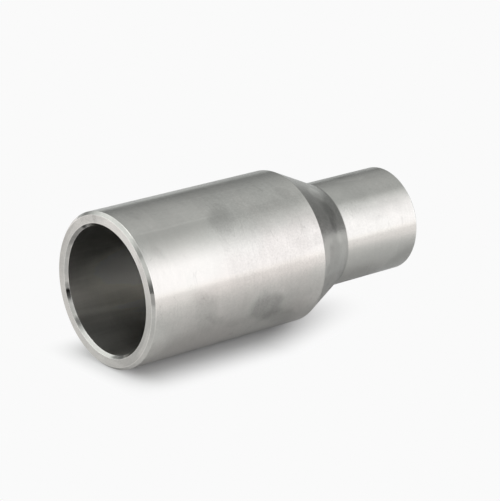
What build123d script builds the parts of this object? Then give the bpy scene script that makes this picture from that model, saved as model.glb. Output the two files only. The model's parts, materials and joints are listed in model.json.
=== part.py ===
from build123d import *
from math import atan2, degrees, radians, tan
import os

# Concentric swage nipple, plain at both ends, turned in one piece.
# The large end's face stands on the plane z = 0 and the axis runs up Z.

# Driving dimensions, millimetres.
LARGE_OD = 48.3        # outside diameter at the large end, 1 1/2 inch pipe
SMALL_OD = 33.4        # outside diameter at the small end, 1 inch pipe
WALL = 4.45            # wall thickness, the same all along
LARGE_LENGTH = 65.8    # plain cylinder at the large end
TAPER_LENGTH = 15.9    # cone between the two cylinders
SMALL_LENGTH = 30.0    # plain cylinder at the small end
EDGE_BREAK = 0.95      # 45 degree chamfer on each rim, inside and outside
NOSE_RADIUS = 0.8      # what the turning tool leaves in a hollow corner

# Sizes that follow from them.
large_radius = LARGE_OD / 2
small_radius = SMALL_OD / 2
taper_start = LARGE_LENGTH
taper_end = taper_start + TAPER_LENGTH
overall_length = taper_end + SMALL_LENGTH
half_angle = degrees(atan2(large_radius - small_radius, TAPER_LENGTH))
bore_lead = WALL * tan(radians(half_angle) / 2)

os.makedirs("parts", exist_ok=True)


with BuildPart() as swage_nipple:
    # Half section: the line of the outside, and the bore at one wall's depth behind it.
    with BuildSketch(Plane.XZ):
        with BuildLine():
            outside = Polyline(
                (large_radius, 0),
                (large_radius, taper_start),
                (small_radius, taper_end),
                (small_radius, overall_length),
            )
            offset(outside, amount=WALL, side=Side.LEFT, kind=Kind.INTERSECTION)
        make_face()
    revolve(axis=Axis.Z)

    # The two hollow corners: inside where the large bore meets its cone,
    # outside where the cone meets the small cylinder.
    rings = swage_nipple.edges().filter_by(GeomType.CIRCLE)
    bore_corner = rings.filter_by_position(Axis.Z, 0, taper_start, (False, False)).sort_by(Axis.Z)[-1]
    neck_corner = rings.filter_by_position(Axis.Z, taper_start, taper_end).sort_by(Axis.Z)[-1]
    fillet([bore_corner, neck_corner], NOSE_RADIUS)

    # Both rims of both ends.
    end_faces = swage_nipple.faces().filter_by(Axis.Z)
    chamfer(end_faces.edges(), EDGE_BREAK)

swage_nipple.part.label = "swage_nipple"
export_step(swage_nipple.part, "parts/swage_nipple.step")

print(f"overall length {overall_length:.2f}, taper half angle {half_angle:.2f} degrees")
print(f"large bore {LARGE_OD - 2 * WALL:.2f}, {taper_start - bore_lead:.2f} deep to its cone")
print(f"small bore {SMALL_OD - 2 * WALL:.2f}, {SMALL_LENGTH + bore_lead:.2f} deep to the cone")
print(f"volume {swage_nipple.part.volume:.1f}, faces {len(swage_nipple.faces())}")
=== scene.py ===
"""The looks of the swage nipple: its turned finish, a soft pale studio and the camera."""

import json
import math
from types import SimpleNamespace

import bmesh
import bpy
from bpy.props import FloatProperty, FloatVectorProperty, IntProperty, PointerProperty
from mathutils import Matrix, Vector


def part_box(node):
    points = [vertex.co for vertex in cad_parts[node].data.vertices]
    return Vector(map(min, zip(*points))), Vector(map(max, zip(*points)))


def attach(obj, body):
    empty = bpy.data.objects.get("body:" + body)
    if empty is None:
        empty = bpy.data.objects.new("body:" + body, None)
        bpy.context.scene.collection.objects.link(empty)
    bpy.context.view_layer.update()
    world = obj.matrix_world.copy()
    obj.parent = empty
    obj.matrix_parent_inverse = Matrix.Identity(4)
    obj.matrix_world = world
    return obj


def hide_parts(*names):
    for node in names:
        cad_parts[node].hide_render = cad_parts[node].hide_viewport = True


bl_info = {
    "name": "Swage nipple",
    "version": (1, 0, 0),
    "blender": (4, 5, 0),
    "location": "3D View > Sidebar > Nipple",
    "description": "Turns a swage nipple in satin stainless steel and sets it in a soft pale studio",
    "category": "Object",
}

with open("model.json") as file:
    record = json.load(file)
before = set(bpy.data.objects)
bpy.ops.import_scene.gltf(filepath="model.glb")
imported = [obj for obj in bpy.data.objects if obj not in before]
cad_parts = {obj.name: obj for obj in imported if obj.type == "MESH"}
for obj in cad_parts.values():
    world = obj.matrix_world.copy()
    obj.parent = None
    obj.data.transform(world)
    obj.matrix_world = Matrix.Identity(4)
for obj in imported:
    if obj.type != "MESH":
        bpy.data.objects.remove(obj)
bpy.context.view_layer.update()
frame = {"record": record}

MM = 0.001
NODE = "swage_nipple"
MOUNTS = {mount["name"]: mount for mount in frame["record"]["mounts"]}


def radius_of(name):
    """The radius of a round mount, in metres."""
    return MOUNTS[name]["dims"]["r_mm"] * MM


def span_of(name):
    """Where the wall of a round mount starts and ends along the axis, in metres."""
    half = MOUNTS[name]["dims"]["length_mm"] * MM / 2
    middle = MOUNTS[name]["pos_m"][2]
    return middle - half, middle + half


# The section, read from the frame.
LARGE_RADIUS = radius_of("large_end_outside")
SMALL_RADIUS = radius_of("small_end_outside")
WALL = LARGE_RADIUS - radius_of("large_bore")
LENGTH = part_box(NODE)[1].z
EDGE_BREAK, TAPER_START = span_of("large_end_outside")
NECK_CLEAR = span_of("small_end_outside")[0]
CONE_END = span_of("small_bore")[0]

# The mesh: steps across a rounded corner, and how near two points are the same.
HOLLOW_STEPS = 5
DULLED_STEPS = 3
SAME_PLACE = 1e-6

# The photo's own world, in the part's axes. The piece lies on its side there, along Z, turned away to
# the right.
AXIS_TURN = math.radians(39.35)
UP = Vector((0, -1, 0))
RIGHT = Vector((math.sin(AXIS_TURN), 0, math.cos(AXIS_TURN)))
AHEAD = Vector((-math.cos(AXIS_TURN), 0, math.sin(AXIS_TURN)))

# The view: a long lens, a little above the piece.
IMAGE_WIDTH = 500
IMAGE_HEIGHT = 501
LARGE_FACE_PIXEL = (104.11, 291.53)
PIXELS_PER_LARGE_RADIUS = 81.64
CAMERA_DEPTH = 0.690
CAMERA_ELEVATION = math.radians(18.92)
CAMERA_SEES_TO = 20.0
SENSOR = 36.0

# The paper's own colour, and the levels of light, where 1 is white.
SHEET_COLOUR = (0.71, 0.71, 0.71)
ROOM_ON_PAPER = 0.5
TENT_LOW, TENT_HIGH = 0.17, 0.55
RIGHT_CLOTH = 1.45
LEFT_CLOTH = 1.12
LOW_LEFT_CLOTH = 0.85
BACK_CLOTH = 0.42

# Where the soft box hangs, in degrees, and the tent's mesh: its steps, and how many large radii below the
# axis it is cut off, just above the floor.
BOX_AZIMUTH, BOX_ELEVATION = 0, 85
TENT_STEPS_ROUND, TENT_STEPS_UP = 48, 24
TENT_CUT = 0.98

# The sockets of a Mix node that mixes colours.
MIX_FACTOR, MIX_FIRST, MIX_SECOND, MIX_RESULT = 0, 6, 7, 2


class Wire:
    """A shader value, so that node maths is written as sums. A wire with no socket only adds nodes."""

    def __init__(self, tree, socket=None):
        self.tree = tree
        self.socket = socket

    def node(self, kind, settings=None, inputs=None, output=0):
        """Adds a node, sets it up, then sets or links its inputs, and gives one of its outputs."""
        made = self.tree.nodes.new(kind)
        for name, value in (settings or {}).items():
            setattr(made, name, value)
        for key, value in (inputs or {}).items():
            self.feed(made.inputs[key], value)
        return Wire(self.tree, made.outputs[output] if len(made.outputs) else None)

    def feed(self, socket, value):
        """Links a wire to a socket, or sets the socket to a plain value."""
        if isinstance(value, Wire):
            self.tree.links.new(value.socket, socket)
        else:
            socket.default_value = value

    def out(self, name):
        """Another output of the same node."""
        return Wire(self.tree, self.socket.node.outputs[name])

    def maths(self, operation, *terms):
        """A Math node on some values."""
        return self.node("ShaderNodeMath", {"operation": operation}, dict(enumerate(terms)))

    def __add__(self, other):
        return self.maths("ADD", self, other)

    def __sub__(self, other):
        return self.maths("SUBTRACT", self, other)

    def __rsub__(self, other):
        return self.maths("SUBTRACT", other, self)

    def __mul__(self, other):
        return self.maths("MULTIPLY", self, other)

    def __truediv__(self, other):
        return self.maths("DIVIDE", self, other)

    def __abs__(self):
        return self.maths("ABSOLUTE", self)

    __radd__ = __add__
    __rmul__ = __mul__

    def mapped(self, kind, low, high, start, end):
        """This value, taken from the range low to high to the range start to end."""
        values = {"Value": self, "From Min": low, "From Max": high, "To Min": start, "To Max": end}
        return self.node("ShaderNodeMapRange", {"interpolation_type": kind}, values)

    def ramp(self, low, high, start=0.0, end=1.0):
        """A smooth step from start, where this is low, to end, where it is high."""
        return self.mapped("SMOOTHSTEP", low, high, start, end)

    def line(self, low, high, start=0.0, end=1.0):
        """A straight run from start, where this is low, to end, where it is high."""
        return self.mapped("LINEAR", low, high, start, end)

    def fall(self, low, high):
        """A smooth step down, from 1 where this is low to 0 where it is high."""
        return self.ramp(low, high, 1.0, 0.0)

    def between(self, rising, falling):
        """1 between two smooth steps, each given as where it starts and where it ends."""
        return self.ramp(*rising) * self.fall(*falling)

    def vector(self, operation, *terms, output=0):
        """Vector Math on this vector."""
        inputs = {0: self, **dict(enumerate(terms, 1))}
        return self.node("ShaderNodeVectorMath", {"operation": operation}, inputs, output)

    def along(self, direction):
        """How far this vector goes along a direction."""
        return self.vector("DOT_PRODUCT", direction, output="Value")

    def split(self):
        """The three coordinates of this vector."""
        x = self.node("ShaderNodeSeparateXYZ", {}, {0: self})
        return x, x.out("Y"), x.out("Z")

    def mix(self, kind, factor, first, second):
        """Two colours, mixed by a factor."""
        colours = {MIX_FACTOR: factor, MIX_FIRST: first, MIX_SECOND: second}
        return self.node("ShaderNodeMix", {"data_type": "RGBA", "blend_type": kind}, colours, MIX_RESULT)

    def noise(self, detail=2.0, roughness=0.55, scale=1.0, output=0):
        """Cloudy noise from 0 to 1 over this vector."""
        inputs = {"Vector": self, "Scale": scale, "Detail": detail, "Roughness": roughness}
        return self.node("ShaderNodeTexNoise", {"noise_dimensions": "3D"}, inputs, output)


def new_material(name):
    """An empty node material, and a wire that adds nodes to it."""
    material = bpy.data.materials.new(name)
    material.use_nodes = True
    material.node_tree.nodes.clear()
    return material, Wire(material.node_tree)


class NippleSizes(bpy.types.PropertyGroup):
    """Sizes of the turned piece. They start from the frame."""

    large_radius: FloatProperty(
        name="Large radius", description="Outside radius of the large end",
        default=LARGE_RADIUS, unit="LENGTH", precision=5)
    small_radius: FloatProperty(
        name="Small radius", description="Outside radius of the small end",
        default=SMALL_RADIUS, unit="LENGTH", precision=5)
    wall: FloatProperty(
        name="Wall", description="Wall thickness, the same all along",
        default=WALL, unit="LENGTH", precision=5)
    length: FloatProperty(
        name="Length", description="Length from end to end",
        default=LENGTH, unit="LENGTH", precision=5)
    taper_start: FloatProperty(
        name="Taper start", description="Where the large cylinder ends",
        default=TAPER_START, unit="LENGTH", precision=5)
    neck_clear: FloatProperty(
        name="Neck clear", description="Where the small cylinder is clear of the blend at its neck",
        default=NECK_CLEAR, unit="LENGTH", precision=5)
    cone_end: FloatProperty(
        name="Inner cone end", description="Where the inner cone meets the small bore",
        default=CONE_END, unit="LENGTH", precision=5)
    edge_break: FloatProperty(
        name="Edge break", description="Width of the 45 degree chamfer on each rim",
        default=EDGE_BREAK, unit="LENGTH", precision=5)
    nose_radius: FloatProperty(
        name="Nose radius", description="Radius left by the tool in a hollow corner",
        default=0.8 * MM, unit="LENGTH", precision=5)
    corner_round: FloatProperty(
        name="Corner round", description="How far the other corners are dulled",
        default=0.07 * MM, unit="LENGTH", precision=6)
    segments: IntProperty(
        name="Segments", description="Steps round the axis", default=224, min=48, max=512)


class SteelFinish(bpy.types.PropertyGroup):
    """The finish of the turned steel."""

    colour: FloatVectorProperty(
        name="Colour", description="Colour of the bare metal", subtype="COLOR", size=3,
        min=0.0, max=1.0, default=(0.664, 0.655, 0.627))
    warm_colour: FloatVectorProperty(
        name="Warm colour", description="Colour of the metal in its warmer patches", subtype="COLOR", size=3,
        min=0.0, max=1.0, default=(0.674, 0.651, 0.624))
    gloss_spread: FloatProperty(
        name="Roughness", description="Roughness of the turned surface", default=0.20, min=0.0, max=1.0)
    stretch: FloatProperty(
        name="Anisotropy", description="How much the grooves draw a highlight out along the axis",
        default=0.5, min=0.0, max=1.0)
    groove_pitch: FloatProperty(
        name="Groove pitch", description="Distance between turning marks", default=0.3 * MM,
        unit="LENGTH", precision=6)
    groove_depth: FloatProperty(
        name="Groove depth", description="Depth of a turning mark", default=0.002 * MM,
        unit="LENGTH", precision=6)


class StudioSettings(bpy.types.PropertyGroup):
    """The stage round the piece."""

    paper: FloatProperty(
        name="Paper", description="How white the floor and the background are to the camera",
        default=0.956, min=0.0, max=1.0)
    floor_size: FloatProperty(
        name="Floor size", description="Side of the floor", default=5.0, unit="LENGTH")
    tent_radius: FloatProperty(
        name="Tent radius", description="Radius of the light tent", default=2.4, unit="LENGTH")
    box_distance: FloatProperty(
        name="Soft box distance", description="From the piece to the soft box", default=1.5, unit="LENGTH")
    box_side: FloatProperty(
        name="Soft box side", description="Side of the soft box", default=0.8, unit="LENGTH")
    box_glow: FloatProperty(
        name="Soft box glow", description="How bright the soft box is, where a white wall is 1",
        default=1.6, min=0.0)


class NIPPLE_OT_turn(bpy.types.Operator):
    """Turn the nipple from a ring, bore it and break its edges"""

    bl_idname = "nipple.turn"
    bl_label = "Turn the nipple"

    def execute(self, context):
        sizes = context.scene.nipple_sizes
        piece = turned_nipple(sizes)
        piece.data.materials.append(turned_stainless(sizes, context.scene.nipple_finish))
        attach(piece, "root")
        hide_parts(NODE)
        return {"FINISHED"}


class NIPPLE_OT_stage(bpy.types.Operator):
    """Lay the floor, light the piece and set the camera"""

    bl_idname = "nipple.stage"
    bl_label = "Set the stage"

    def execute(self, context):
        studio = context.scene.nipple_studio
        lay_floor(studio)
        raise_tent(studio)
        hang_soft_box(studio)
        surround(context.scene, studio)
        set_camera(context.scene)
        context.scene.view_settings.view_transform = "Standard"
        return {"FINISHED"}


class NIPPLE_PT_panel(bpy.types.Panel):
    """Lists the sizes, the finish and the steps"""

    bl_label = "Swage nipple"
    bl_idname = "NIPPLE_PT_panel"
    bl_space_type = "VIEW_3D"
    bl_region_type = "UI"
    bl_category = "Nipple"

    def draw(self, context):
        for group in (context.scene.nipple_sizes, context.scene.nipple_finish, context.scene.nipple_studio):
            box = self.layout.box()
            for name in group.__annotations__:
                box.prop(group, name)
        self.layout.operator(NIPPLE_OT_turn.bl_idname)
        self.layout.operator(NIPPLE_OT_stage.bl_idname)


def section(sizes):
    """The corners of the half section as radius and height, round from the large end's outer chamfer, with
    the two hollow ones again by themselves, and how far the tool's nose reaches along each side of those."""
    large, small, wall, rim = sizes.large_radius, sizes.small_radius, sizes.wall, sizes.edge_break
    # The blend at the neck and the bore's lead share the tangent of half the taper's angle.
    half_turn = (sizes.neck_clear - sizes.cone_end) / (wall + sizes.nose_radius)
    lead = wall * half_turn
    taper_end = sizes.cone_end + lead
    neck = (small, taper_end)
    bore_corner = (large - wall, sizes.taper_start - lead)
    points = [
        (large - rim, 0.0),
        (large, rim),
        (large, sizes.taper_start),
        neck,
        (small, sizes.length - rim),
        (small - rim, sizes.length),
        (small - wall + rim, sizes.length),
        (small - wall, sizes.length - rim),
        (small - wall, sizes.cone_end),
        bore_corner,
        (large - wall, rim),
        (large - wall + rim, 0.0),
    ]
    return points, (neck, bore_corner), sizes.nose_radius * half_turn


def select_rings(piece, places):
    """Selects the rings of edges that lie at these places of the section."""
    mesh = bmesh.from_edit_mesh(piece.data)
    for edge in mesh.edges:
        edge.select = False
    for edge in mesh.edges:
        spots = [(math.hypot(v.co.x, v.co.y), v.co.z) for v in edge.verts]
        if abs(spots[0][0] - spots[1][0]) + abs(spots[0][1] - spots[1][1]) > SAME_PLACE:
            continue
        if any(abs(spots[0][0] - r) + abs(spots[0][1] - z) < SAME_PLACE * 5 for r, z in places):
            edge.select = True
    mesh.select_flush_mode()
    bmesh.update_edit_mesh(piece.data)


def turned_nipple(sizes):
    """The nipple, drawn out ring by ring round its section and closed on itself."""
    points, hollow, blend = section(sizes)
    bpy.ops.object.select_all(action="DESELECT")
    radius, height = points[0]
    bpy.ops.mesh.primitive_circle_add(
        vertices=sizes.segments, radius=radius, location=(0, 0, 0), enter_editmode=True)
    piece = bpy.context.object
    piece.name = "turned_nipple"
    bpy.ops.mesh.select_mode(type="EDGE")
    bpy.ops.mesh.select_all(action="SELECT")
    for next_radius, next_height in points[1:] + points[:1]:
        bpy.ops.mesh.extrude_region_move(TRANSFORM_OT_translate={"value": (0, 0, next_height - height)})
        scale = next_radius / radius
        bpy.ops.transform.resize(value=(scale, scale, 1), center_override=(0, 0, next_height))
        radius, height = next_radius, next_height
    bpy.ops.mesh.select_all(action="SELECT")
    bpy.ops.mesh.remove_doubles(threshold=SAME_PLACE)
    bpy.ops.mesh.normals_make_consistent(inside=False)
    select_rings(piece, hollow)
    bpy.ops.mesh.bevel(offset=blend, offset_type="OFFSET", segments=HOLLOW_STEPS, affect="EDGES")
    select_rings(piece, [point for point in points if point not in hollow])
    bpy.ops.mesh.bevel(offset=sizes.corner_round, offset_type="OFFSET", segments=DULLED_STEPS, affect="EDGES")
    bpy.ops.object.mode_set(mode="OBJECT")
    bpy.ops.object.shade_smooth()
    weighted = piece.modifiers.new("even_shading", "WEIGHTED_NORMAL")
    weighted.weight = 100
    weighted.keep_sharp = False
    bpy.ops.object.modifier_apply(modifier=weighted.name)
    return piece


# Stains and dull patches on the outside, with patches of painted shade and painted light among them where the
# reflections are darker or paler. Each has the angle about the axis in degrees, the height and the half
# length in millimetres, and how much darker its middle is, or paler where that is below zero. One that isn't
# round also has its half width in millimetres and its tilt from the axis in degrees.
# As the piece lies in the photo, angle 0 is the side towards the camera and 90 the top.
STAINS_AND_PAINTED_LIGHT = (
    # The large cylinder's front.
    (-21, 43.8, 6.8, 0.27, 5.6, -20),
    (-39, 52.5, 9.5, 0.16, 4.6, -30),
    (61, 34.2, 3.0, 0.08),
    (51, 32.6, 5.0, 0.10),
    (0, 17.0, 3.8, 0.07, 2.6, -10),
    (-7, 19.5, 4.8, 0.09),
    (0, 22.0, 3.6, 0.03),
    (-18, 23.5, 5.0, 0.10, 2.6, -35),
    (-28, 31.0, 4.0, 0.07, 1.8, -20),
    (33, 52.0, 13.0, 0.085),
    (40, 45.0, 4.0, 0.03),
    (28, 60.0, 7.0, 0.035),
    (42, 5.5, 2.8, 0.055),
    (74, 6.5, 2.7, 0.06),
    (62, 59.5, 2.8, 0.09),
    (36, 65.2, 3.4, 0.10),
    (22, 65.4, 3.2, 0.09),
    (-44, 33.4, 1.6, 0.12, 0.8, -20),
    (-30, 2.0, 7.0, -0.16),
    (62, 11.0, 12.0, 0.06),
    (-23, 20.5, 4.2, 0.10),
    (-20, 36.0, 5.5, 0.05),
    (-28, 63.0, 4.2, -0.08),
    (103, 56.0, 17.0, 0.22, 3.0, 0),
    (-24, 55.0, 10.0, 0.06, 5.5, 0),
    (-12, 55.0, 7.0, 0.045),
    (25, 16.0, 10.0, -0.02),
    # The taper's front.
    (61, 74.8, 3.8, -0.34),
    (44, 74.6, 3.6, 0.19),
    (40, 76.6, 1.8, 0.14),
    (29, 74.8, 2.9, 0.25),
    (17, 76.4, 2.7, -0.13),
    (8, 70.5, 2.4, 0.07),
    (-5, 68.5, 1.7, 0.14),
    (0, 78.4, 2.6, -0.04),
    (-26, 73.5, 4.6, -0.15),
    (3, 72.5, 5.0, 0.12),
    (22, 72.5, 4.0, 0.07),
    (57, 71.0, 4.0, -0.06),
    # The small cylinder's front.
    (32, 98.0, 14.0, 0.08, 3.6, 0),
    (-44, 108.5, 10.5, 0.24),
    (-64, 96.0, 6.5, 0.15),
    (-64, 105.0, 6.0, 0.10),
    (87, 98.0, 18.0, -0.14, 2.6, 0),
    (60, 92.0, 5.0, 0.05),
    (103, 97.0, 18.0, 0.28, 2.8, 0),
    # The sides that the photo doesn't show.
    (148, 21.0, 6.5, 0.12, 4.4, 18),
    (122, 47.0, 5.2, 0.09),
    (171, 55.0, 7.0, 0.10, 3.6, 34),
    (-118, 40.0, 5.0, 0.13),
    (-88, 14.0, 4.0, 0.09),
    (-152, 24.0, 4.6, 0.08),
    (-100, 96.0, 4.2, 0.09),
    (140, 101.0, 3.6, 0.08),
    (-160, 75.0, 3.5, 0.15),
    (110, 72.0, 3.0, -0.15),
    (150, 0.0, 3.0, 0.09, 19.0, 0),
)
# Painted reflections: thin pale and dark lines along the large cylinder, like a panel's edge mirrored in it.
PAINTED_REFLECTION_LINES = (
    (57.5, 17.0, 20.0, -0.05, 0.50, 0),
    (57.0, 55.0, 12.0, 0.04, 0.60, 0),
    (79.0, 40.0, 26.0, -0.03, 0.50, 0),
    (-122.0, 30.0, 22.0, 0.04, 0.50, 0),
)
# Where the metal is warmer in colour. The last number is how warm.
WARM_PATCHES = (
    (-24, 22.0, 16.0, 0.8),
    (4, 33.0, 11.0, 0.8),
    (10, 50.0, 12.0, 0.9),
    (24, 60.0, 10.0, 0.6),
    (-20, 60.0, 9.0, 0.5),
    (-150, 36.0, 14.0, 0.8),
    (150, 60.0, 10.0, 0.7),
)
# Painted shade and painted light in wide streaky bands along the bore.
BORE_PAINTED_LIGHT_AND_SHADE = (
    (124, 30.0, 70.0, 0.80, 17.0, 0),
    (-176, 34.0, 30.0, -1.15, 9.0, 0),
    (-165, 24.5, 7.0, -0.08, 3.0, 0),
    (-140, 14.0, 22.0, -0.24, 1.4, 5),
    (-132, 34.0, 26.0, -0.46, 8.0, 0),
    (-94, 42.0, 42.0, 0.98, 9.5, 0),
    (-40, 40.0, 50.0, 0.12, 6.0, 0),
    (20, 35.0, 60.0, -0.12, 5.0, 0),
    (70, 25.0, 40.0, 0.14, 6.0, 0),
)
# Painted reflections and painted shade on the large end's chamfers, inside and outside, and on its face.
MOUTH_PAINTED_REFLECTIONS = (
    (-162, 0.5, 0.9, 0.55, 2.0, 0),
    (-137, 0.6, 0.8, 0.30, 1.9, 0),
    (-71, 0.5, 0.9, 0.56, 5.4, 0),
    (92, 0.5, 1.4, 0.76, 9.0, 0),
    (134, 0.5, 1.4, 0.48, 10.0, 0),
    (175, 0.5, 1.2, 0.12, 4.5, 0),
    (-168, 0.5, 1.9, 0.36),
    (-148, 0.5, 1.6, 0.14),
    (-46, 0.5, 0.9, 0.32, 4.4, 0),
    (116, 0.5, 2.6, 0.50),
    (158, 0.5, 2.4, 0.20),
)
RIM_PAINTED_REFLECTIONS = (
    (9.5, 0.45, 2.5, 0.29),
    (47, 0.45, 2.4, -0.11),
    (130, 0.45, 2.6, 0.40),
    (-28, 0.45, 7.5, 0.14),
)
FACE_PAINTED_REFLECTIONS = (
    (101, 0.0, 2.6, 0.12, 1.2, 0),
    (118, 0.0, 2.6, 0.06, 0.9, 0),
    (40, 0.3, 1.0, 0.18, 1.9, 0),
    (-86, 0.0, 2.6, -0.13, 11.0, 0),
    (44, 0.0, 4.5, -0.07),
    (103, 0.0, 2.6, 0.11, 8.0, 0),
    (176, 0.0, 2.6, 0.07, 6.0, 0),
    (-103, 1.2, 5.0, -0.07),
    (16, 1.2, 5.5, -0.06),
)

# Where a patch starts to fade and where it ends, as shares of its half length. A streak fades from sooner.
PATCH_FADES, PATCH_ENDS = 0.5, 1.15
STREAK_FADES = 0.2
# How far into the wall the painted reflections lie: on the mouth from the bore, and on the face from the
# outside.
MOUTH_PAINTED_REFLECTIONS_IN = 0.4 * MM
FACE_PAINTED_REFLECTIONS_IN = 1.2 * MM
# The angle about the axis at which the painted sheen on the large end's face is brightest.
FACE_LOBE = math.radians(57)


def surface_point(sizes, angle, height, below):
    """A point of the outside at an angle and a height, or so far below it, and the way out there."""
    span = (height - sizes.taper_start) / (sizes.cone_end - sizes.taper_start)
    narrowed = (sizes.small_radius - sizes.large_radius) * min(max(span, 0.0), 1.0)
    turn = math.radians(angle)
    outwards = Vector((math.cos(turn), -math.sin(turn), 0.0))
    return outwards * (sizes.large_radius + narrowed - below) + Vector((0.0, 0.0, height)), outwards


def leaning(outwards, tilt):
    """The turn of a patch that faces outwards and whose length leans by a tilt from the axis."""
    lean = math.radians(tilt)
    axis = Vector((0.0, 0.0, 1.0))
    length = axis * math.cos(lean) + outwards.cross(axis) * math.sin(lean)
    return Matrix((length, outwards.cross(length), outwards)).transposed().to_euler()


def spread(where, sizes, patches, below=0.0, fades=PATCH_FADES):
    """How much darker some patches make each point. They lie on the outside, or so far below it."""
    total = 0.0
    for angle, height, reach, depth, *oblong in patches:
        spot, outwards = surface_point(sizes, angle, height * MM, below)
        if oblong:
            width, tilt = oblong
            local = where.node("ShaderNodeMapping", {"vector_type": "TEXTURE"}, {
                "Vector": where, "Location": spot, "Rotation": leaning(outwards, tilt),
                "Scale": Vector((reach, width, reach)) * MM})
            far, limit = local.vector("LENGTH", output="Value"), 1.0
        else:
            far, limit = where.vector("DISTANCE", spot, output="Value"), reach * MM
        total = far.ramp(fades * limit, PATCH_ENDS * limit, depth, 0.0) + total
    return total


def zones(place, sizes):
    """What each point of the piece belongs to, as wires from 0 to 1."""
    x, y, z = place.split()
    radius = place.maths("SQRT", x * x + y * y)
    outside = z.line(sizes.taper_start, sizes.cone_end, sizes.large_radius, sizes.small_radius)

    # How far a point lies from the nearer side of the wall, the nearer end and the corners of the chamfer.
    rim = sizes.edge_break
    half_wall = sizes.wall / 2
    into = half_wall - abs(radius - (outside - half_wall))
    inward = place.maths("MINIMUM", z, sizes.length - z)
    to_wall = inward - rim
    to_face = into - rim
    wall_corner = place.maths("SQRT", into * into + to_wall * to_wall)
    face_corner = place.maths("SQRT", to_face * to_face + inward * inward)

    faced = inward.fall(0.01 * MM, 0.03 * MM)
    chamfered = (into + inward).fall(rim + 0.02 * MM, rim + 0.12 * MM) * (1.0 - faced)
    inside = (outside - radius).ramp(sizes.wall * 0.45, sizes.wall * 0.55)
    return SimpleNamespace(
        x=x, y=y, z=z, radius=radius, faced=faced, chamfered=chamfered, inside=inside,
        # Near the corners of the chamfers the metal is smoother, from wear, and paler, as a painted highlight
        # on the edges.
        polished_edge_glint=place.maths("MINIMUM", wall_corner, face_corner).fall(0.05 * MM, 0.24 * MM),
        bored=inside * (1.0 - chamfered) * (1.0 - faced),
        tapered=z.between((sizes.taper_start - 0.1 * MM, sizes.taper_start + 0.1 * MM),
                          (sizes.neck_clear - 0.4 * MM, sizes.neck_clear + 0.4 * MM)),
        small_end=z.ramp(sizes.cone_end - 2 * MM, sizes.cone_end),
        front=(0.0 - y).ramp(-1 * MM, 4 * MM) * x.ramp(-6 * MM, 0.0))


def tool_marks(place, at, finish):
    """What the tools have left, as noise from 0 to 1 at three widths, and the hair scratches."""
    travel = at.z - at.radius

    def marks(pitches, run, seed, detail=2.0):
        """Lines round the axis, some pitches apart, each of which fades in and out over a run."""
        pitch = finish.groove_pitch * pitches
        across = {0: at.x / run + seed, 1: at.y / run, 2: travel / pitch}
        return place.node("ShaderNodeCombineXYZ", {}, across).noise(detail)

    # A hair scratch lies where a stretched noise crosses its middle.
    hair = 1.0 - abs(marks(pitches=9, run=12 * MM, seed=23.0, detail=1.0) - 0.5).ramp(0.0, 0.014)
    worn = marks(pitches=30, run=9 * MM, seed=31.0).ramp(0.5, 0.62)
    return SimpleNamespace(
        fine=marks(pitches=1, run=14 * MM, seed=3.1),
        medium=marks(pitches=4, run=16 * MM, seed=7.7),
        broad=marks(pitches=14, run=22 * MM, seed=11.7),
        scratch=hair * worn * (1.0 - at.bored))


def smudges_and_painted_light(place, at, sizes):
    """Stains, and painted shade and painted light in patches, along the bore and on the large end, as how
    much darker they make each point, and how warm the patches are.
    """
    # They are placed on a surface that wanders, so that their edges do.
    wander = place.noise(detail=3.0, roughness=0.5, scale=110.0, output="Color")

    def wandering(reach):
        """The place, moved by up to half a reach each way."""
        return wander.vector("MULTIPLY_ADD", (reach,) * 3, place).vector("SUBTRACT", (reach / 2,) * 3)

    loosely, nearly = wandering(7 * MM), wandering(1 * MM)
    # Painted reflection lines are added in here too.
    stains_and_painted_light = spread(loosely, sizes, STAINS_AND_PAINTED_LIGHT) + spread(nearly, sizes, PAINTED_REFLECTION_LINES)
    bore_light_and_shade = spread(nearly, sizes, BORE_PAINTED_LIGHT_AND_SHADE, sizes.wall, STREAK_FADES)
    chamfer_reflections = spread(nearly, sizes, MOUTH_PAINTED_REFLECTIONS, sizes.wall - MOUTH_PAINTED_REFLECTIONS_IN) + spread(nearly, sizes, RIM_PAINTED_REFLECTIONS)
    # Painted shade: the bore is darker just inside its mouth.
    mouth = 0.14 * at.z.fall(1 * MM, 12 * MM)
    return SimpleNamespace(
        # Stains on the outside, and the painted shade and painted light among them.
        stained_and_painted_light=stains_and_painted_light * (1.0 - at.inside),
        painted_bore_light_and_shade=(bore_light_and_shade + mouth) * at.bored,
        painted_end_reflections=chamfer_reflections * at.chamfered + spread(nearly, sizes, FACE_PAINTED_REFLECTIONS, FACE_PAINTED_REFLECTIONS_IN) * at.faced,
        warmed=spread(loosely, sizes, WARM_PATCHES))


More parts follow.
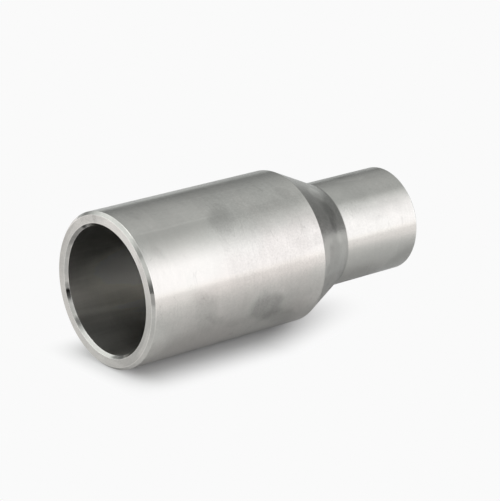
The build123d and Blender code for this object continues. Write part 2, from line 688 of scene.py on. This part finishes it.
def turned_stainless(sizes, finish):
    """Satin stainless steel with fine marks round the axis, where the tool has travelled, with smudging, and
    with painted light and shade.
    """
    material, steel = new_material("turned_stainless")
    place = steel.node("ShaderNodeTexCoord", output="Object")
    at = zones(place, sizes)
    tool = tool_marks(place, at, finish)
    marks_and_painted_light = smudges_and_painted_light(place, at, sizes)
    cloud = place.noise(detail=3.0, scale=48.0)
    mottle = place.noise(detail=3.0, roughness=0.6, scale=330.0)
    grain = place.noise(detail=2.0, roughness=0.6, scale=1500.0)
    sway = place.noise(detail=1.0, roughness=0.5, scale=40.0)
    # Threads along the bore, left by drawing.
    thread = {0: at.x / (1.1 * MM), 1: at.y / (1.1 * MM), 2: at.z / (16 * MM)}
    drawn = steel.node("ShaderNodeCombineXYZ", {}, thread).noise(detail=3.0)

    # How strongly the marks and the grain show. They are weaker on the burnished front of the large end,
    # which ends in a step, and on the small end. Past the step the metal carries painted shade, so that the
    # highlight ends there.
    polish = at.z.fall(24 * MM, 34 * MM) * at.front * at.x.ramp(5 * MM, 16 * MM, 0.3)
    highlight_end_shade = at.z.between((27.5 * MM, 30.5 * MM), (34 * MM, 54 * MM)) * at.front
    busy = 1.10 - 0.70 * polish - 0.30 * at.small_end
    uneven = 1.0 - 0.55 * at.small_end
    ringed = 1.0 - 0.6 * at.faced
    grained = busy * (1.0 - 0.65 * at.bored)

    # Painted sheen: the face is paler in two lobes, as a face turned in rings catches the light.
    lobe = (at.x * math.cos(FACE_LOBE) - at.y * math.sin(FACE_LOBE)) / at.radius
    painted_face_sheen = (2.0 * lobe * lobe - 1.0) * at.faced

    # Each feature of the finish, and of the painted light and shade, with how much paler and how much rougher
    # it makes the metal.
    features = (
        ((tool.broad - 0.5) * uneven * ringed, 0.05, 0.0),
        ((tool.broad - 0.5) * uneven * busy, 0.0, 0.06),
        ((tool.medium - 0.5) * busy * ringed, 0.09, 0.0),
        ((cloud - 0.5) * uneven, 0.16, 0.08),
        ((mottle - 0.5) * grained, 0.13, 0.04),
        ((grain - 0.5) * grained, 0.215, 0.05),
        ((drawn - 0.5) * at.bored, 0.26, 0.0),
        # Stains, and the painted shade and painted light among them.
        (marks_and_painted_light.stained_and_painted_light, -1.0, 0.08),
        # Painted shade and painted light in the bore.
        (marks_and_painted_light.painted_bore_light_and_shade, -1.0, -0.06),
        # Painted reflections and painted shade on the large end's chamfers and face.
        (marks_and_painted_light.painted_end_reflections, -1.0, 0.0),
        # Painted shade past the step, where the highlight ends.
        (highlight_end_shade, -0.055, 0.0),
        (tool.scratch, -0.08, 0.05),
        # The taper is darker: painted shade, where it mirrors the shaded paper.
        (at.tapered, -0.14, 0.02),
        # The bore is paler, as painted light inside it, and rougher.
        (at.bored, 0.20, 0.16),
        # Worn edges, paler with a painted highlight.
        (at.polished_edge_glint, 0.22, -0.04),
        (at.chamfered, -0.07, -0.09),
        (at.faced, -0.03, 0.0),
        # The face's painted sheen.
        (painted_face_sheen, 0.12, 0.0),
    )
    shade, rough = 1.0, finish.gloss_spread
    for feature, paler, rougher in features:
        if paler:
            shade = shade + paler * feature
        if rougher:
            rough = rough + rougher * feature

    warm = steel.maths("MINIMUM", marks_and_painted_light.warmed + 0.4 * cloud.ramp(0.42, 0.62), 1.0)
    tint = steel.mix("MIX", warm, (*finish.colour, 1.0), (*finish.warm_colour, 1.0))
    grey = steel.node("ShaderNodeCombineColor", {}, {0: shade, 1: shade, 2: shade})
    # Heights in groove depths.
    grooves = tool.fine + busy * (1.3 * tool.medium + tool.broad)
    height = grooves + 0.2 * grain - 2.0 * tool.scratch + 60.0 * sway
    bump = steel.node("ShaderNodeBump", {}, {
        "Strength": 1.0, "Distance": finish.groove_depth, "Height": height})
    shader = steel.node("ShaderNodeBsdfPrincipled", {}, {
        "Base Color": steel.mix("MULTIPLY", 1.0, tint, grey), "Metallic": 1.0, "Roughness": rough,
        "Normal": bump, "Anisotropic": finish.stretch, "Anisotropic Rotation": 0.25})
    steel.node("ShaderNodeOutputMaterial", {}, {"Surface": shader})
    return material


def lay_floor(studio):
    """A sheet of white paper under the piece as it lies in the photo. It is seen from above only."""
    bpy.ops.object.select_all(action="DESELECT")
    bpy.ops.mesh.primitive_grid_add(
        x_subdivisions=2, y_subdivisions=2, size=studio.floor_size, location=(0, 0, 0))
    floor = bpy.context.object
    floor.name = "paper_floor"
    floor.data.transform(Matrix.Rotation(math.radians(90), 4, "X"))
    floor.data.transform(Matrix.Translation(-UP * LARGE_RADIUS))
    floor.data.materials.append(white_paper(studio))


def white_paper(studio):
    """White paper. The camera sees its shadow near the piece and plain white past that, and the metal sees it
    shaded near the piece and, further out, glowing with painted light."""
    material, paper = new_material("white_paper")
    back = paper.node("ShaderNodeNewGeometry", output="Backfacing")
    sheet = paper.node("ShaderNodeBsdfDiffuse", {}, {"Color": (*SHEET_COLOUR, 1.0)})
    clear = paper.node("ShaderNodeBsdfTransparent")
    camera = paper.node("ShaderNodeLightPath", output="Is Camera Ray")
    mirrored = camera.out("Is Glossy Ray") + camera.out("Is Transmission Ray")
    x, _, z = paper.node("ShaderNodeTexCoord", output="Object").split()

    def larger(first, second):
        """The larger of two values."""
        return paper.maths("MAXIMUM", first, second)

    # The shadow that the camera sees lies beside the piece and is narrower towards its small end.
    beside = abs(x) + 0.3 * larger(z - 50 * MM, 0.0)
    shadow = 0.92 * beside.fall(9.5 * MM, 29 * MM) * z.between((-8 * MM, 7.5 * MM), (56 * MM, 101 * MM))

    # What the metal mirrors, where the paper glows with painted light: the open paper on both sides, the
    # paper in front of the large end's face, and a little light right under the piece, where the photo's view
    # doesn't reach.
    beyond = larger(larger(1.6 * (z - LENGTH), 0.0 - z), 0.0)
    reach = paper.maths("SQRT", x * x + beyond * beyond)
    slant = x / larger(z, 1 * MM)
    aside = larger(slant.line(0.15, 0.36), (0.0 - slant).line(1.7, 3.2))
    open_side = reach.ramp(18 * MM, 125 * MM) * aside * z.ramp(-80 * MM, -10 * MM)
    face_side = ((0.0 - x).line(-110 * MM, 260 * MM) + 0.2 * (0.0 - z).ramp(45 * MM, 85 * MM)) * (
        4 * MM - z).ramp(0.0, 8 * MM)
    under = 0.45 * x.between((-34 * MM, -20 * MM), (-14 * MM, 3 * MM)) * z.between(
        (-4 * MM, 4 * MM), (60 * MM, 70 * MM))
    lit = larger(larger(open_side, face_side), under)

    # The paper is brighter in the metal the further out it lies, and a little warm.
    brighter = 0.08 + reach.line(0.12, 0.36, 0.0, 0.14) + reach.line(0.33, 0.42, 0.0, 0.26)
    glow = studio.paper + brighter * mirrored
    warmed = paper.node("ShaderNodeCombineColor", {}, {
        0: glow, 1: glow - 0.026 * mirrored, 2: glow - 0.034 * mirrored})
    white = paper.node("ShaderNodeEmission", {}, {"Color": warmed, "Strength": 1.0})
    glowing = (1.0 - shadow) * camera + lit * mirrored
    seen = paper.node("ShaderNodeMixShader", {}, {0: glowing, 1: sheet, 2: white})
    both = paper.node("ShaderNodeMixShader", {}, {0: back, 1: seen, 2: clear})
    paper.node("ShaderNodeOutputMaterial", {}, {"Surface": both})
    return material


def direction(azimuth, elevation):
    """A direction of the photo's world: degrees from straight ahead to the right, and degrees up."""
    turn, rise = math.radians(azimuth), math.radians(elevation)
    level = math.cos(rise)
    return RIGHT * (level * math.sin(turn)) + AHEAD * (level * math.cos(turn)) + UP * math.sin(rise)


def raise_tent(studio):
    """A light tent round the piece, cut off just above the floor. Only the camera looks through it."""
    bpy.ops.object.select_all(action="DESELECT")
    bpy.ops.mesh.primitive_uv_sphere_add(
        segments=TENT_STEPS_ROUND, ring_count=TENT_STEPS_UP, radius=studio.tent_radius, location=(0, 0, 0))
    tent = bpy.context.object
    tent.name = "light_tent"
    bpy.ops.object.mode_set(mode="EDIT")
    bpy.ops.mesh.select_all(action="SELECT")
    bpy.ops.mesh.bisect(plane_co=-UP * LARGE_RADIUS * TENT_CUT, plane_no=UP, clear_inner=True)
    bpy.ops.mesh.select_all(action="SELECT")
    bpy.ops.mesh.normals_make_consistent(inside=True)
    bpy.ops.object.mode_set(mode="OBJECT")
    tent.data.materials.append(lit_cloth())
    tent.visible_camera = False


def lit_cloth():
    """The tent's cloth, brightest and a little blue on the right, and dark near the level."""
    material, cloth = new_material("lit_cloth")
    ray = cloth.node("ShaderNodeTexCoord", output="Object").vector("NORMALIZE")
    # Degrees above the level, and from straight ahead to the right.
    to_degrees = 180 / math.pi
    rise = cloth.maths("ARCSINE", ray.along(UP)) * to_degrees
    turn = cloth.maths("ARCTAN2", ray.along(RIGHT), ray.along(AHEAD)) * to_degrees
    room = rise.ramp(2, 54, TENT_LOW, TENT_HIGH)
    right = turn.between((56, 72), (150, 172)) * rise.fall(22, 60)
    left = turn.between((-143, -122), (-62, -30)) * rise.ramp(3, 20)
    low_left = turn.between((-180, -166), (-152, -143)) * rise.between((4, 20), (30, 38))
    back = turn.between((-60, -30), (15, 38)) * rise.fall(4, 13)
    glow = room + BACK_CLOTH * back
    for panel, level in ((right, RIGHT_CLOTH), (left, LEFT_CLOTH), (low_left, LOW_LEFT_CLOTH)):
        glow = glow + panel * (level - room)
    warmer = 1.0 - right
    tinted = cloth.node("ShaderNodeCombineColor", {}, {
        0: glow * (1.006 - 0.036 * warmer), 1: glow, 2: glow * (1.02 - 0.034 * warmer)})
    shade = cloth.node("ShaderNodeEmission", {}, {"Color": tinted, "Strength": 1.0})
    cloth.node("ShaderNodeOutputMaterial", {}, {"Surface": shade})
    return material


def hang_soft_box(studio):
    """A square soft box that faces the piece from above, as bright as a white wall times its glow."""
    data = bpy.data.lights.new("overhead_soft_box", "AREA")
    data.shape = "RECTANGLE"
    data.size = studio.box_side
    data.size_y = studio.box_side
    data.energy = studio.box_glow * math.pi * studio.box_side ** 2
    lamp = bpy.data.objects.new("overhead_soft_box", data)
    bpy.context.scene.collection.objects.link(lamp)
    middle = Vector((0, 0, LENGTH / 2))
    towards = direction(BOX_AZIMUTH, BOX_ELEVATION)
    side = UP.cross(towards).normalized()
    lamp.matrix_world = facing(side, towards.cross(side), towards, middle + towards * studio.box_distance)
    lamp.visible_camera = False


def facing(side, over, behind, place):
    """The matrix of a lamp or camera at a place, from its right, its top and the way behind it."""
    return Matrix((
        (side.x, over.x, behind.x, place.x),
        (side.y, over.y, behind.y, place.y),
        (side.z, over.z, behind.z, place.z),
        (0, 0, 0, 1)))


def surround(scene, studio):
    """White behind everything, to the camera and to the metal, and plain grey to the paper."""
    world = bpy.data.worlds.new("studio_room")
    world.use_nodes = True
    world.node_tree.nodes.clear()
    scene.world = world
    room = Wire(world.node_tree)
    grey = room.node("ShaderNodeBackground", {}, {"Color": (1, 1, 1, 1), "Strength": ROOM_ON_PAPER})
    white = room.node("ShaderNodeBackground", {}, {"Color": (1, 1, 1, 1), "Strength": studio.paper})
    camera = room.node("ShaderNodeLightPath", output="Is Camera Ray")
    seen = room.maths("MAXIMUM", camera, camera.out("Is Glossy Ray") + camera.out("Is Transmission Ray"))
    shown = room.node("ShaderNodeMixShader", {}, {0: seen, 1: grey, 2: white})
    room.node("ShaderNodeOutputWorld", {}, {"Surface": shown})


def set_camera(scene):
    """The photo's view, past the large end."""
    focal_pixels = PIXELS_PER_LARGE_RADIUS * CAMERA_DEPTH / LARGE_RADIUS
    data = bpy.data.cameras.new("photo_view")
    data.sensor_width = SENSOR
    data.lens = focal_pixels * SENSOR / IMAGE_HEIGHT
    data.clip_end = CAMERA_SEES_TO
    camera = bpy.data.objects.new("photo_view", data)
    scene.collection.objects.link(camera)
    look = AHEAD * math.cos(CAMERA_ELEVATION) - UP * math.sin(CAMERA_ELEVATION)
    over = RIGHT.cross(look)
    metres_per_pixel = LARGE_RADIUS / PIXELS_PER_LARGE_RADIUS
    across = (LARGE_FACE_PIXEL[0] - IMAGE_WIDTH / 2) * metres_per_pixel
    down = (LARGE_FACE_PIXEL[1] - IMAGE_HEIGHT / 2) * metres_per_pixel
    eye = -(RIGHT * across - over * down + look * CAMERA_DEPTH)
    camera.matrix_world = facing(RIGHT, over, -look, eye)
    scene.camera = camera


CLASSES = (NippleSizes, SteelFinish, StudioSettings, NIPPLE_OT_turn, NIPPLE_OT_stage, NIPPLE_PT_panel)


def register():
    for entry in CLASSES:
        bpy.utils.register_class(entry)
    bpy.types.Scene.nipple_sizes = PointerProperty(type=NippleSizes)
    bpy.types.Scene.nipple_finish = PointerProperty(type=SteelFinish)
    bpy.types.Scene.nipple_studio = PointerProperty(type=StudioSettings)


def unregister():
    del bpy.types.Scene.nipple_studio
    del bpy.types.Scene.nipple_finish
    del bpy.types.Scene.nipple_sizes
    for entry in reversed(CLASSES):
        bpy.utils.unregister_class(entry)


def main():
    register()
    bpy.ops.nipple.turn()
    bpy.ops.nipple.stage()


if __name__ == "__main__":
    main()
